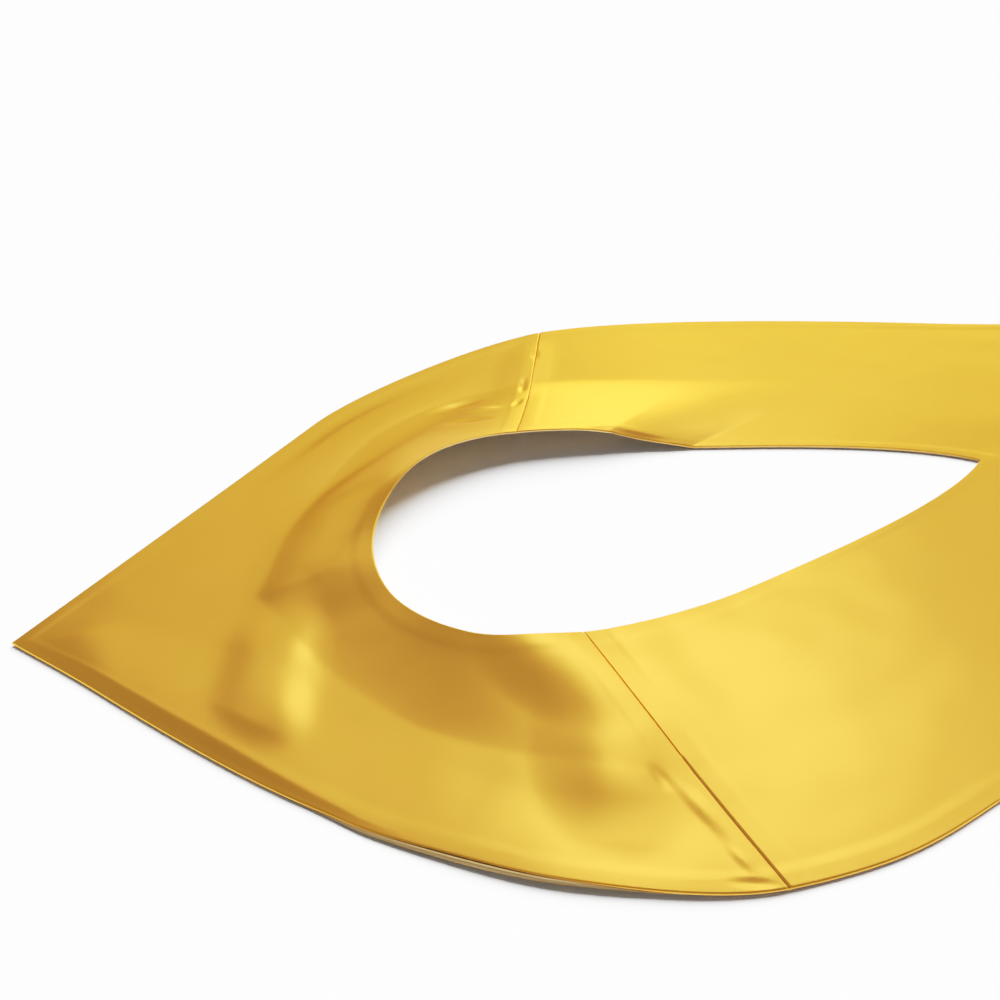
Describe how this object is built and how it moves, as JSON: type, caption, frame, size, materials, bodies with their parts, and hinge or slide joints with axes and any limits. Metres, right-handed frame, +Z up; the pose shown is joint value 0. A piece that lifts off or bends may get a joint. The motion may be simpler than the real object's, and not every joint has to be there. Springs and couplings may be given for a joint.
{
  "type": "graduation stole",
  "caption": "Closed satin stole lying flat: a short pointed back, a long pointed front, two shoulder seams and an open V neck with a raised back edge.",
  "frame": {"origin": "middle of the bounding box, on the surface that the stole lies on", "axes": "+X along the centreline towards the point of the front, +Y to the far shoulder in the picture, +Z up"},
  "size_m": [0.868, 0.45, 0.0205],
  "materials": {
    "satin_face": "gold satin, smooth and glossy",
    "satin_lining": "gold satin lining"
  },
  "bodies": {
    "root": {"back_panel": "satin_face", "front_panel": "satin_face", "back_lining": "satin_lining", "front_lining": "satin_lining"}
  },
  "joints": []
}
